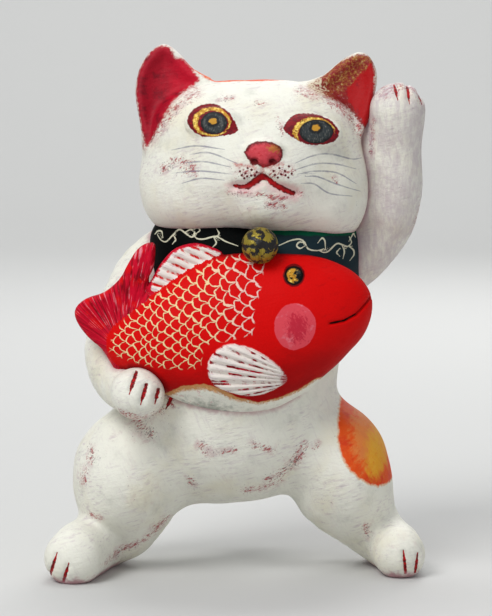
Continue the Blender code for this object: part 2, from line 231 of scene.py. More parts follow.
def head(p):
    f = pebble(p, (3.1, 0.0, 77.2), (20.4, 17.6, 14.5), power=2.8)
    f = blend(f, pebble(p, (-5.5, -1.5, 71.3), (12.0, 14.0, 9.2), power=2.4), 4)
    f = blend(f, pebble(p, (11.9, -1.5, 70.2), (12.3, 14.0, 9.4), power=2.6), 4)
    f = face(p, f)
    for outline in (LEFT_EAR, RIGHT_EAR):
        f = blend(f, ear(p, outline), 1.4)
    return f + unevenness(p, 9.0, 0.05)


# The body
LEFT_TOES = [[(-32.9, 5.6), (-34.1, 1.9)], [(-30.7, 3.9), (-31.6, 0.9)]]
RIGHT_TOES = [[(30.7, 5.2), (31.1, 1.6)], [(33.3, 4.5), (33, 1.5)]]
HOLDING_TOES = [[(-18.2, 39.1), (-19.1, 36.3)], [(-16.3, 37.2), (-17.1, 34.4)], [(-14.2, 36.1),
    (-14.6, 34.4)], [(-12, 33.8), (-12.8, 32.2)]]
RAISED_TOES = [[(29, 90.6), (29.4, 88.6)], [(31.3, 91), (31.6, 87.9)], [(33.5, 89.7), (33.9, 87.8)]]


def torso(p):
    chest = pebble(p, (1.6, 0.5, 47.0), (18.2, 15.5, 17.0), power=2.3)
    belly = pebble(p, (-1.0, -0.5, 30.0), (20.0, 17.0, 17.9), turn=(0, -6, 0), power=2.3)
    return blend(chest, belly, 5)


def left_leg(p):
    f = pebble(p, (-20.8, -3.5, 18.0), (10.0, 12.5, 12.2), turn=(0, 8, 0))
    f = blend(f, limb(p, [(-19.0, -2.0, 15.0), (-22.0, -1.0, 8.2)], [8.8, 7.2]), 3)
    foot = limb(p, [(-25.9, 2.0, 3.8), (-28.2, -8.0, 4.6), (-30.0, -15.2, 4.4)], [5.0, 5.6, 5.4])
    f = blend(f, foot, 2.2)
    return score(f, p, LEFT_TOES, 0.45, 0.5, behind=-14.0)


def right_leg(p):
    f = pebble(p, (20.0, -2.5, 18.8), (8.9, 12.0, 12.8), turn=(0, -16, 0))
    f = blend(f, limb(p, [(18.8, -2.0, 15.0), (24.8, -1.0, 8.0)], [8.0, 5.9]), 3)
    foot = limb(p, [(28.2, 2.0, 3.6), (29.6, -5.0, 4.2), (30.2, -10.8, 4.2)], [4.6, 5.0, 4.8])
    f = blend(f, foot, 3)
    return score(f, p, RIGHT_TOES, 0.45, 0.5, behind=-11.0)


def bob_tail(p):
    """The short tail behind, which curls up the cat's back."""
    return limb(p, [(1.0, 13.0, 17.0), (2.0, 18.0, 21.0), (4.0, 19.5, 26.0)], [4.5, 4.2, 3.8])


def raised_arm(p):
    """The beckoning arm. A web of clay ties it to the side of the head."""
    joints = [(14.0, 3.0, 54.5), (21.0, 3.5, 57.8), (26.6, 2.0, 63.6), (29.3, -1.0, 70.5),
              (29.5, -3.0, 80.0), (29.8, -4.2, 86.2)]
    f = limb(p, joints, [6.5, 6.2, 5.8, 5.2, 4.8, 5.1])
    web = limb(p, [(24.6, -0.6, 67.0), (24.8, -1.4, 84.0)], [2.6, 2.2])
    return score(blend(f, web, 1.5), p, RAISED_TOES, 0.4, 0.4, behind=-3.0)


def holding_arm(p):
    """The arm that comes round the fish's tail and holds it from below."""
    joints = [(-10.0, 3.0, 57.5), (-14.4, 2.0, 54.2), (-18.6, -1.5, 48.0), (-21.2, -5.0, 41.5),
              (-21.0, -9.5, 37.0), (-19.2, -15.5, 35.2)]
    f = limb(p, joints, [7.8, 8.4, 7.7, 7.1, 5.6, 4.3])
    f = blend(f, pebble(p, (-18.0, -19.2, 35.3), (4.9, 4.8, 4.8)), 0.8)
    return score(f, p, HOLDING_TOES, 0.5, 0.6, behind=-18.0)


def body(p):
    f = blend(torso(p), left_leg(p), 5)
    f = blend(f, right_leg(p), 3.8)
    f = blend(f, bob_tail(p), 2)
    f = blend(f, raised_arm(p), 2.5)
    f = blend(f, holding_arm(p), 2.0)
    return np.maximum(f + unevenness(p, 11.0, 0.07), -p[..., 2])


COLLAR_MIDDLE = (3.2, -0.5, 57.2)


def collar(p):
    """The wide neck band."""
    return pebble(p, COLLAR_MIDDLE, (19.7, 16.8, 11.0), power=4.0) + unevenness(p, 7.0, 0.03)


# The sea bream
TAIL_FIN = rounded([(-19, 40.5), (-21.8, 38.9), (-23.8, 42.1), (-27.2, 45), (-29.3, 48), (-29.5, 50.2),
    (-27.6, 52), (-24.2, 53.2), (-21.6, 55.4), (-19.9, 58.2), (-18.2, 61), (-16.3, 62.2), (-14.9, 61.8),
    (-15.1, 58), (-16.2, 55), (-15, 48)])
DORSAL_FIN = rounded([(-15.8, 53.6), (-15, 56.6), (-13.4, 59.2), (-11, 61.4), (-7.4, 62.3),
    (-4.2, 61.6), (-2.6, 60.2), (-6, 57), (-12, 52)])
SIDE_FIN = rounded([(9, 38.3), (7.2, 41), (3.2, 43.8), (-1.2, 44.9), (-4.2, 43), (-5.1, 40.4),
    (-4, 37.4), (0.2, 35.6), (4.2, 35.4), (7.6, 36.9)])
FISH_MOUTH = [(16.8, 48.4), (19.3, 48.8), (21.5, 49.8), (22.6, 50.8), (24.2, 52.4)]
TAIL_FAN = ((-20.5, 42.6), 7.0)        # a fan's hinge, and the degrees between its grooves
DORSAL_FAN = ((45.0, 36.0), 1.4)
SIDE_FAN = ((13.0, 37.9), 5.6)
FISH_EYE = (10.3, 57.0)
SCALES_FROM = (-71.0, 44.0)            # the rows of scales spread from this far point behind the tail
SCALE_SIZE = 0.0180                    # half the height of a scale, as a share of its way from there
SCALE_STRETCH = 1.2                    # a scale's length beside that half height


def bream_body(p):
    f = pebble(p, (1.1, -14.5, 46.0), (18.9, 9.2, 15.0), turn=(0, -10, 0), power=1.9)
    f = blend(f, pebble(p, (-8.0, -14.5, 44.6), (16.0, 6.5, 8.2), turn=(0, -3, 0)), 5)
    return blend(f, pebble(p, (12.4, -14.5, 50.0), (12.4, 7.5, 9.5), turn=(0, -6, 0)), 4.6)


def bream(p):
    """The fish with its tail, back fin and side fin, its eye and the crease of its mouth."""
    flesh = bream_body(p)
    lean = 0.1 * (p[..., 0] + 18.0)
    tail = plate(p, TAIL_FIN, -13.9 - lean, 2.8 + lean, 1.2)
    tail = fan_ribs(tail, p, *TAIL_FAN, 0.16, in_outline(p, TAIL_FIN))
    back_fin = plate(p, DORSAL_FIN, -14.8, 1.9, 0.9)
    back_fin = fan_ribs(back_fin, p, *DORSAL_FAN, 0.25, in_outline(p, DORSAL_FIN))
    side = in_outline(p, SIDE_FIN)
    side_fin = common(flesh - 1.2, side, 0.6)
    side_fin = fan_ribs(side_fin, p, *SIDE_FAN, 0.3, side)
    side_fin = np.maximum(side_fin, p[..., 1] + 14.0)
    f = blend(flesh, tail, 1.5)
    f = blend(f, back_fin, 0.8)
    f = blend(f, side_fin, 0.4)
    f = blend(f, pebble(p, (FISH_EYE[0], -20.2, FISH_EYE[1]), (1.8, 1.5, 1.8)), 0.3)
    f = score(f, p, [FISH_MOUTH], 0.3, 0.6, behind=-14.0)
    return f + unevenness(p, 8.0, 0.04)


# Skins
def grid_values(field, low, counts, step, block=4):
    """The field on a grid. Only the points near its surface are worked out one by one."""
    coarse = [np.arange(-(-n // block) + 1) for n in counts]
    corners = np.stack(np.meshgrid(*coarse, indexing="ij"), axis=-1) * block * step + low
    far = field(corners)
    reach = 1.3 * block * step + 2 * step
    nearest = np.ix_(*((np.arange(n) + block // 2) // block for n in counts))
    values = np.where(far < 0, -1e3, 1e3)[nearest]
    close = np.argwhere((np.abs(far) < reach)[nearest])
    values[tuple(close.T)] = field(low + step * close)
    return values


def skin(field, low, high, step):
    """The surface where a field is nought, as points and four-sided faces.

    Every cell of a grid that the surface crosses gets one point, at the mean of the places
    where it cuts the cell's edges, and every grid edge that it cuts gets the face between
    the four cells around that edge.
    """
    low = np.array(low)
    counts = [int((b - a) / step) + 2 for a, b in zip(low, high)]
    values = grid_values(field, low, counts, step)
    inside = values < 0
    corners = [inside[tuple(slice(c, c + n - 1) for c, n in zip(corner, counts))]
               for corner in np.ndindex(2, 2, 2)]
    crossed = np.logical_or.reduce(corners) & ~np.logical_and.reduce(corners)
    cells = np.argwhere(crossed)
    number = np.full(crossed.shape, -1)
    number[crossed] = np.arange(len(cells))

    cuts = np.zeros(len(cells))
    place = np.zeros((len(cells), 3))
    for axis in range(3):
        for across in np.ndindex(2, 2):
            start = np.insert(across, axis, 0)
            end = np.insert(across, axis, 1)
            a, b = values[tuple((cells + start).T)], values[tuple((cells + end).T)]
            cut = (a < 0) != (b < 0)
            share = np.where(cut, a / np.where(cut, a - b, 1), 0)
            place += np.where(cut[:, None], start + share[:, None] * (end - start), 0)
            cuts += cut
    points = low + step * (cells + place / cuts[:, None])

    faces = []
    for axis in range(3):
        u, v = (axis + 1) % 3, (axis + 2) % 3
        near = np.take(inside, range(inside.shape[axis] - 1), axis)
        far = np.take(inside, range(1, inside.shape[axis]), axis)
        for leaves in (True, False):
            at = np.argwhere((near == leaves) & (far != leaves))
            ring = []
            for du, dv in ((0, 0), (1, 0), (1, 1), (0, 1)):
                cell = at.copy()
                cell[:, u] -= du
                cell[:, v] -= dv
                ring.append(number[tuple(cell.T)])
            ring = np.stack(ring, axis=1)
            faces.append(ring if leaves else ring[:, ::-1])
    return points, np.concatenate(faces)


def settle(field, points, most, rounds=3, step=0.02):
    """Draws points onto the surface of a field, by no more than a given way each round."""
    for _ in range(rounds):
        slope = np.stack([(field(points + step * axis) - field(points - step * axis)) / (2 * step)
                          for axis in np.eye(3)], axis=-1)
        size = np.maximum((slope ** 2).sum(axis=-1), 0.25)
        points = points - slope * np.clip(field(points) / size, -most, most)[:, None]
    return points


def in_metres(points):
    return (np.asarray(points) - np.array(MIDDLE)) * SHARE


def dressed(name, field, low, high, step, paint, finish, node):
    """A piece with a fine skin, the measures that its paint needs, and its material."""
    points, faces = skin(field, low, high, step)
    points = settle(field, points, step / 2)
    mesh = bpy.data.meshes.new(name)
    mesh.from_pydata(in_metres(points).tolist(), [], faces.tolist())
    mesh.shade_smooth()
    for measure, values in paint(points).items():
        mesh.attributes.new(measure, "FLOAT", "POINT").data.foreach_set("value", values.astype(np.float32))
    mesh.materials.append(finish)
    return placed(name, mesh, node)


def placed(name, mesh, node):
    thing = bpy.data.objects.new(name, mesh)
    bpy.context.scene.collection.objects.link(thing)
    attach(thing, "root")
    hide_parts(node)
    return thing


# Where the paint goes, as (x, z) lines and outlines seen from the front
LEFT_EYE = [(-9, 84.4), (-8.6, 85.6), (-7.8, 86.5), (-6.7, 87.2), (-5.2, 87.5), (-3.7, 87.4),
    (-2.3, 86.7), (-1.3, 85.9), (-0.5, 84.6), (0.3, 82.9), (-0.4, 82.3), (-1.7, 82), (-3.1, 81.8),
    (-4.6, 81.7), (-6, 81.7), (-7.5, 82.4), (-8.5, 83.3)]
RIGHT_EYE = [(8.4, 83.2), (9, 84.2), (9.9, 85.2), (11, 85.7), (12.5, 85.8), (13.9, 85.7), (15.4, 85.4),
    (16.8, 84.7), (17.8, 83.8), (18.6, 82.7), (18.4, 81.8), (17.7, 80.8), (16.5, 80.4), (14.7, 80.2),
    (13, 80.3), (11.3, 80.9), (9.8, 81.8), (8.8, 82.6)]
NOSE = [(2.2, 80.3), (3.5, 80.9), (5.2, 81), (6.6, 80.7), (7.9, 80), (8.3, 79), (8.1, 77.7), (7.3, 77),
    (5.8, 76.6), (4.9, 76.3), (4.2, 76.6), (3.5, 77), (2.6, 77.3), (1.8, 78.2), (1.3, 79)]
LIPS = [(-0.7, 73.4), (0.2, 73.1), (1.5, 73.2), (2.6, 73.9), (3.5, 74.7), (4.6, 75.4), (5.8, 74.7),
    (7.3, 73.5), (9, 72.6), (10.7, 71.7), (10.3, 71.1), (8.4, 71.8), (6.6, 72.8), (5.2, 74),
    (4.4, 73.9), (3.4, 73.1), (2.2, 72.4), (0.6, 72.4), (-0.5, 72.8)]
WHISKERS = [[(-11.6, 79.2), (-7.4, 80), (-2.4, 79.5)], [(-8.3, 78.5), (-4.8, 78.8), (-0.1, 77.1)],
    [(-9.4, 76.9), (-5.7, 77.2), (-1.3, 76.4)], [(-11.6, 75), (-7.4, 75.5), (-4.3, 75.4), (-1, 75.1)],
    [(-9.7, 73.3), (-6.4, 74.2), (-2.4, 74)], [(10.7, 77.1), (13.6, 78.2), (16.8, 78.5), (21, 77.4),
    (22.8, 77.4)], [(10.7, 75.9), (14.3, 76.8), (18.1, 76.6), (21.7, 75.6)], [(11.2, 75.1),
    (14.3, 75.5), (18.3, 75), (21.7, 73)], [(12.6, 74.6), (14.6, 74.5), (18.2, 73), (22.5, 71.5)],
    [(11.8, 73.4), (14, 73.2), (16.8, 71.4), (20.9, 70.7)]]
MUZZLE_DOTS = [(0.6, 75.6), (1.6, 75.3), (2.7, 75.9), (2.6, 74.9), (1.4, 74.4), (3.6, 75.5),
    (0.9, 74.9), (2, 76.2), (3.3, 74.9), (1.9, 74.7), (6.6, 75.7), (7.7, 76.2), (9.4, 76.5),
    (9.9, 75.2), (9.3, 74.5), (6.9, 75), (8, 75.1), (8.7, 75.7), (7.4, 74.5), (8.8, 74.9)]
NOSE_SMEARS = [[(-0.2, 76.8), (1.6, 76.7), (3.3, 76.3)], [(5.4, 76.3), (8.2, 77)], [(4.7, 76.5),
    (4.7, 74.9)]]
LEFT_EAR_RED = rounded([(-17.2, 81), (-18.3, 86), (-18.7, 90), (-18, 93.8), (-16, 96.9), (-13.8, 98),
    (-12.2, 97.3), (-11.4, 95.9), (-9.7, 95.2), (-7.9, 93.1), (-7.2, 91.6), (-9.1, 90.2), (-10.7, 88.9),
    (-12.2, 87.2), (-13.8, 84.3), (-14.9, 82.4), (-16.4, 79.8)])
RIGHT_EAR_RED = rounded([(13, 90.6), (15.2, 92), (18.4, 94.6), (21.5, 96.1), (23.8, 96.4), (25.2, 95.2),
    (25.5, 92), (25.2, 88), (24.2, 83), (22.9, 83.6), (21, 86.2), (18, 88), (15, 89.3)])
BELLY_LINE = [(14.5, 38), (11.5, 36.1), (7.5, 34.5), (4, 33.8), (0.1, 34.9), (-3.2, 36.7), (-5.9, 37.4),
    (-9.9, 36.9), (-12.7, 35.2), (-20, 33)]
SCALED = [(5.1, 59.5), (4.3, 54.4), (3.2, 51.5), (3.1, 46.6), (0, 45.9), (-5.8, 44.6), (-6.6, 40.4),
    (-11.4, 40.1), (-17, 40.6), (-23.2, 42.4), (-22.6, 45.5), (-19.4, 50.1), (-15.2, 52.8),
    (-11.5, 55.1), (-7.4, 57.7), (-3, 59.9), (2, 60.6)]
HIP_PATCH = rounded([(19.9, 33), (19, 29.9), (18.8, 26.1), (19.4, 23.1), (20.8, 20.8), (22.6, 19),
    (25.8, 17.2), (28.7, 17.4), (34, 20), (36, 28), (30, 38), (22, 38)])
VINES = [[(-15, 63.5), (-14.6, 63.9), (-13.9, 63.9), (-13.7, 63.2)], [(-14.6, 63.1), (-14, 62.4),
    (-13, 62.2), (-11.7, 63.5), (-10.5, 64.5), (-9.1, 63.7), (-8.2, 63.3), (-7.6, 63.9), (-7.9, 64.5),
    (-7.3, 64.9), (-6.7, 64.5), (-7.3, 64)], [(-7.8, 63.7), (-7.3, 63.1), (-6, 63), (-3.8, 63.5),
    (-2.1, 62.7), (-0.1, 62)], [(-3.6, 63.5), (-3.2, 64), (-3.5, 64.5)], [(-4.1, 63.2), (-3.7, 62.4),
    (-4.2, 61.8)], [(-11.6, 63.4), (-11.2, 62.7), (-11.6, 62.1)], [(-9.2, 64.2), (-8.4, 64.6),
    (-7.8, 64.2)], [(8, 62.1), (9.8, 62.8), (11.4, 63), (12.3, 62.5), (13, 61.3), (14.5, 60.9),
    (15.7, 61.1)], [(12.2, 62.4), (11.4, 62.5), (10.9, 61.9), (11.5, 61.4), (12.2, 61.7)],
    [(16.2, 61.4), (16.1, 62.6), (15.6, 63.1), (15, 62.5)], [(15.2, 60.8), (15.9, 60.5), (16.8, 60.7),
    (18.3, 61.9), (19.5, 61.6), (20.4, 61.2), (21.2, 61.8), (20.9, 62.6)], [(20.9, 62.4), (21.6, 63.3),
    (21.9, 62.9)], [(19.5, 61.2), (19.8, 60.4), (19.6, 59.4)], [(18.7, 60.8), (18.3, 60.3),
    (18.7, 59.8)], [(20.8, 61.1), (21.6, 60.4), (21.7, 59.5), (21.1, 58.8)]]
# Where the red ground shows through the white: lines seen from the front, and the reach to each side
HEAD_WEAR = [([(-13.4, 75.8), (-11, 77.4), (-8, 76.6), (-9, 74.9)], 1.2), ([(-9.6, 75.6), (-7.6, 75.4)],
    1.5), ([(-17.6, 79.6), (-15.4, 81.6), (-11.6, 86.2), (-7.4, 89.6)], 1.5), ([(11.6, 89.9),
    (16.5, 88.4), (20.5, 85.4), (23.6, 81.4)], 1.5), ([(3.4, 87.7), (4.8, 87.5)], 0.6), ([(-3, 88.2),
    (-0.9, 88.5)], 0.7), ([(17.4, 74.4), (18.2, 73.4)], 0.7), ([(7.4, 85), (8.3, 82.6)], 0.8),
    ([(-1.6, 71.8), (3.5, 71.4), (8, 70.8), (11.6, 71.4)], 0.8), ([(5.4, 69.6), (8.4, 69)], 1.2),
    ([(0, 75.4), (3.6, 75.2)], 1.4), ([(6.4, 75.3), (10, 75.4)], 1.4)]
BODY_WEAR = [([(-6.4, 25.4), (-5.2, 23.8)], 1.3), ([(-4.2, 23.8), (-0.4, 24.6)], 0.9), ([(3, 25.6),
    (6.4, 24.4)], 1.2), ([(5.8, 18.2), (9, 20.2), (11.4, 22.6), (12.6, 24.8)], 1.4), ([(1.4, 16.2),
    (5.6, 16.8), (8, 18)], 1.2), ([(14.4, 24.2), (15, 25.4)], 0.8), ([(-8.6, 18.6), (-8, 17.4)], 1.2),
    ([(-26.8, 24), (-27.2, 21.6)], 1.1), ([(-28, 19.8), (-28.4, 18)], 1.2), ([(-27, 11.6),
    (-25.4, 11.2)], 0.9), ([(24, 9.2), (24.4, 7.4)], 1.1), ([(-21, 32), (-17, 31), (-14, 31.8)], 1.5),
    ([(-13, 34.6), (-11.6, 32.6)], 1), ([(26.6, 89.4), (29.4, 90.6), (33, 90.2), (34.6, 88.2)], 1.9),
    ([(25.2, 84.5), (24.9, 78)], 0.8), ([(34.6, 68), (33.6, 63.8)], 1.4), ([(-18.8, 29.6), (-16, 27)],
    1.6), ([(-24, 3), (-17, 6.4), (-13, 10.4)], 1.2)]


def brushed(points, half, start=0.4, end=0.4, steps=6):
    """A brush stroke: a smooth line of (x, z, half width) that thins out to shares at its ends."""
    line = curve_through(points, steps)
    width = half * np.interp(np.linspace(0, 1, len(line)), (0, 0.3, 0.7, 1), (start, 1, 1, end))
    return np.column_stack([line, width])


def to_strokes(p, strokes, front):
    """For points in front of a depth: the way to the nearest stroke, and that across it in half widths."""
    near = np.full(len(p), FAR_OFF)
    across = np.full(len(p), FAR_OFF)
    rows = np.flatnonzero(p[:, 1] < front)
    x, z = p[rows, 0], p[rows, 2]
    for stroke in strokes:
        for (x0, z0, w0), (x1, z1, w1) in zip(stroke, stroke[1:]):
            dx, dz = x1 - x0, z1 - z0
            span = math.hypot(dx, dz)
            along = np.clip(((x - x0) * dx + (z - z0) * dz) / span ** 2, 0, 1)
            away = np.hypot(x - x0 - along * dx, z - z0 - along * dz)
            nearer = away < near[rows]
            near[rows[nearer]] = away[nearer]
            side = ((x - x0) * dz - (z - z0) * dx) / span / (w0 + (w1 - w0) * along)
            across[rows[nearer]] = side[nearer]
    return near, across


def in_front(p, distance, front):
    """A painted outline's distance where the surface is in front of a depth, and far away behind."""
    return np.where(p[:, 1] < front, distance, FAR_OFF)


def worn(p, places, front):
    """How worn a point is, from 0 to 1, beside lines on the front."""
    wear = [np.exp(-(to_line(p, line) / reach) ** 2) for line, reach in places]
    return np.where(p[:, 1] < front, np.maximum.reduce(wear), 0)


def crevice_shade(p, *others):
    """How close the next part of the figure is, for the painted shade in the corners where parts meet."""
    return np.minimum.reduce([other(p) for other in others] + [np.full(len(p), FAR_OFF)])


def head_paint(p):
    whiskers = [brushed(line, 0.14, 0.4, 0.4) for line in WHISKERS]
    whisker_near, whisker_across = to_strokes(p, whiskers, -4.0)
    smear_near, _ = to_strokes(p, [brushed(line, 1.0, 1, 1) for line in NOSE_SMEARS], -8.0)
    ears = np.minimum(in_outline(p, LEFT_EAR_RED), in_outline(p, RIGHT_EAR_RED))
    return {"eyes": in_front(p, np.minimum(in_outline(p, LEFT_EYE), in_outline(p, RIGHT_EYE)), -5.0),
            "nose": in_front(p, in_outline(p, NOSE), -15.0),
            "lips": in_front(p, in_outline(p, LIPS), -8.0),
            "ears": np.maximum(ears, 3.0 * (p[:, 1] + ear_half(p) - 2.1)),
            "smears": smear_near,
            "whisker_near": whisker_near,
            "whisker_across": whisker_across,
            "wear": worn(p, HEAD_WEAR, 0.0),
            "crevice_shade": crevice_shade(p, collar, raised_arm)}


def body_paint(p):
    toes = [brushed(toe, 0.3, 0.4, 0.9) for toe in LEFT_TOES + RIGHT_TOES]
    toes += [brushed(toe, 0.36, 0.9, 0.3) for toe in HOLDING_TOES]
    toes += [brushed(toe, 0.28, 0.6, 0.3) for toe in RAISED_TOES]
    toe_near, toe_across = to_strokes(p, toes, -5.0)
    return {"toe_near": toe_near,
            "toe_across": toe_across,
            "hip": in_outline(p, HIP_PATCH),
            "wear": worn(p, BODY_WEAR, 0.0),
            "arm": raised_arm(p),
            "crevice_shade": crevice_shade(p, head, collar, bream)}


def nape_vine():
    """A slow wave with a leaf at every turn, along the band as if it were unrolled."""
    height, swing, pitch = 61.0, 0.9, 0.42
    stem = [(u, height + swing * math.sin(pitch * u)) for u in np.arange(-28, 29)]
    leaf = [(0.0, 0.9), (1.3, 1.9), (2.8, 1.7), (3.0, 0.6), (2.0, 0.3)]
    turns = np.arange(-3.5, 4) * math.pi / pitch
    leaves = [[(turn + u, height - side * z) for u, z in leaf] for turn, side in zip(turns, [1, -1] * 4)]
    return [brushed(line, 0.16, 0.8, 0.6) for line in [stem] + leaves]


def collar_paint(p):
    """The vines in front, and a plainer one that runs round the nape."""
    near, across = to_strokes(p, [brushed(line, 0.14, 0.6, 0.5) for line in VINES], 0.0)
    degrees_a_share = 3.2
    unrolled = p * (1, -1, 1)
    unrolled[:, 0] = np.degrees(np.arctan2(p[:, 0] - COLLAR_MIDDLE[0], p[:, 1])) / degrees_a_share
    nape_near, nape_across = to_strokes(unrolled, nape_vine(), -2.0)
    return {"vine_near": np.minimum(near, nape_near),
            "vine_across": np.where(near < nape_near, across, nape_across)}


def fish_paint(p):
    """Which scale and which fin ray each point is on, and its way to the painted outlines."""
    off_x, off_z = p[:, 0] - SCALES_FROM[0], p[:, 2] - SCALES_FROM[1]
    tail, back, side = (in_outline(p, fin) for fin in (TAIL_FIN, DORSAL_FIN, SIDE_FIN))
    raised = bream_body(p)
    tail = np.where((raised > 0.25) & (p[:, 0] < -14), tail, FAR_OFF)
    back = np.where((raised > 0.2) & (p[:, 1] < -10), back, FAR_OFF)
    side = in_front(p, side, -14.0)
    fans = [ray(p, *fan) for fan in (TAIL_FAN, DORSAL_FAN, SIDE_FAN)]
    on_ray = np.select([side < 0.5, back < 0.5], [fans[2], fans[1]], fans[0])
    above = np.interp(p[:, 0], [x for x, z in BELLY_LINE[::-1]], [z for x, z in BELLY_LINE[::-1]])
    return {"scale_column": np.log(np.hypot(off_x, off_z)) / (SCALE_SIZE * SCALE_STRETCH),
            "scale_row": np.arctan2(off_z, off_x) / SCALE_SIZE,
            "scaled": in_front(p, in_outline(p, SCALED), -12.0),
            "tail": tail, "back_fin": back, "side_fin": side, "ray": on_ray,
            "above_belly": p[:, 2] - above,
            "mouth": to_line(p, FISH_MOUTH),
            "crevice_shade": crevice_shade(p, head, body, collar)}


# Materials
class Signal:
    """A number, place or colour that varies over a surface: what a shader node gives out."""

    def __init__(self, paint, socket):
        self.paint = paint
        self.socket = socket

    def __add__(self, other):
        return self.paint.math("ADD", self, other)

    def __sub__(self, other):
        return self.paint.math("SUBTRACT", self, other)

    def __rsub__(self, other):
        return self.paint.math("SUBTRACT", other, self)

    def __mul__(self, other):
        return self.paint.math("MULTIPLY", self, other)

    def __truediv__(self, other):
        return self.paint.math("DIVIDE", self, other)

    def __abs__(self):
        return self.paint.math("ABSOLUTE", self)


class Paint:
    """One material, built up coat by coat from its ground colour."""

    def __init__(self, name, ground):
        self.colour = ground
        self.material = bpy.data.materials.new(name)
        self.material.use_nodes = True
        self.tree = self.material.node_tree
        self.shader = self.tree.nodes["Principled BSDF"]
        spot = self.tree.nodes.new("ShaderNodeTexCoord").outputs["Object"]
        self.shares = self.vector("MULTIPLY_ADD", Signal(self, spot), (1 / SHARE,) * 3, MIDDLE)
        parts = self.node("ShaderNodeSeparateXYZ", [self.shares]).outputs
        self.x, self.y, self.z = (Signal(self, part) for part in parts)

    def node(self, kind, inputs=(), **settings):
        made = self.tree.nodes.new(kind)
        for setting, value in settings.items():
            setattr(made, setting, value)
        for socket, value in zip(made.inputs, inputs):
            self.feed(socket, value)
        return made

    def feed(self, socket, value):
        if isinstance(value, Signal):
            self.tree.links.new(value.socket, socket)
        else:
            socket.default_value = value

    def math(self, operation, *values):
        return Signal(self, self.node("ShaderNodeMath", values, operation=operation).outputs[0])

    def vector(self, operation, *values):
        made = self.node("ShaderNodeVectorMath", values, operation=operation)
        return Signal(self, made.outputs["Value" if operation == "LENGTH" else "Vector"])

    def least(self, signals):
        found = signals[0]
        for signal in signals[1:]:
            found = self.math("MINIMUM", found, signal)
        return found

    def measure(self, name):
        """A measure that the skin carries from point to point."""
        made = self.node("ShaderNodeAttribute", attribute_type="GEOMETRY", attribute_name=name)
        return Signal(self, made.outputs["Fac"])

    def fractal(self, spot, detail, roughness):
        """Random patches about 1 across, from -1 to 1."""
        made = self.node("ShaderNodeTexNoise")
        self.tree.links.new(spot.outputs[0], made.inputs["Vector"])
        made.inputs["Scale"].default_value = 1.0
        made.inputs["Detail"].default_value = detail
        made.inputs["Roughness"].default_value = roughness
        return self.math("MULTIPLY_ADD", Signal(self, made.outputs["Fac"]), 2.0, -1.0)

    def noise(self, size, detail=3, roughness=0.55, squash=(1, 1, 1), turn=0):
        """Random patches about so many shares across, from -1 to 1. They can be squashed, and turned
        by degrees as seen from the front."""
        placing = [self.shares, (0, 0, 0), (0, -math.radians(turn), 0), [size / s for s in squash]]
        spot = self.node("ShaderNodeMapping", placing, vector_type="TEXTURE")
        return self.fractal(spot, detail, roughness)

    def grain(self, across, along):
        """Random streaks from -1 to 1 that run along one measure, each about 1 wide in the other."""
        return self.fractal(self.node("ShaderNodeCombineXYZ", [across, along, 0.0]), 4, 0.5)

    def ramp(self, signal, start, end):
        """0 up to the start, 1 from the end on, and even between them. The end may be the lower."""
        made = self.node("ShaderNodeMapRange", interpolation_type="SMOOTHSTEP")
        self.feed(made.inputs["Value"], signal)
        made.inputs["From Min"].default_value = start
        made.inputs["From Max"].default_value = end
        return Signal(self, made.outputs["Result"])

    def blots(self, start, end, *size, **shape):
        """The patches of noise(), each from 0 at its edge to 1 inside."""
        return self.ramp(self.noise(*size, **shape), start, end)

    def within(self, distance, limit, soft=0.12):
        """1 where a distance is less than a limit."""
        return self.ramp(distance, limit + soft / 2, limit - soft / 2)

    def egg(self, centre, radii):
        """A distance that is 1 on the surface of an egg shape."""
        off = self.vector("SUBTRACT", self.shares, centre)
        return self.vector("LENGTH", self.vector("MULTIPLY", off, [1 / r for r in radii]))

    def oval(self, centre, radii):
        """A distance that is 1 on the rim of an oval seen from the front."""
        return self.egg((centre[0], 0, centre[1]), (radii[0], math.inf, radii[1]))

    def coat(self, under, over, share=1.0):
        """One colour over another, as thick as the share says, from 0 to 1."""
        made = self.node("ShaderNodeMix", data_type="RGBA")
        factor, first, second = (made.inputs[place] for place in (0, 6, 7))
        self.feed(factor, share)
        self.feed(first, under)
        self.feed(second, over)
        return Signal(self, made.outputs[2])

    def add(self, over, share=1.0):
        """Paints the next coat over the ones before."""
        self.colour = self.coat(self.colour, over, share)

    def finish(self, roughness, height, depth, metallic=0.0, gloss=0.5):
        """Hooks the coats up to the shader, with the height of the marks in metres."""
        self.feed(self.shader.inputs["Base Color"], self.colour)
        self.feed(self.shader.inputs["Roughness"], roughness)
        self.feed(self.shader.inputs["Metallic"], metallic)
        self.shader.inputs["Specular IOR Level"].default_value = gloss
        bump = self.node("ShaderNodeBump")
        bump.inputs["Distance"].default_value = depth
        self.feed(bump.inputs["Height"], height)
        self.tree.links.new(bump.outputs["Normal"], self.shader.inputs["Normal"])
        return self.material


def tint(red, green, blue):
    """A colour as a screen shows it, 0 to 255, in the light values that a shader takes."""
    parts = [c / 255 for c in (red, green, blue)]
    return tuple(c / 12.92 if c < 0.04045 else ((c + 0.055) / 1.055) ** 2.4 for c in parts) + (1.0,)


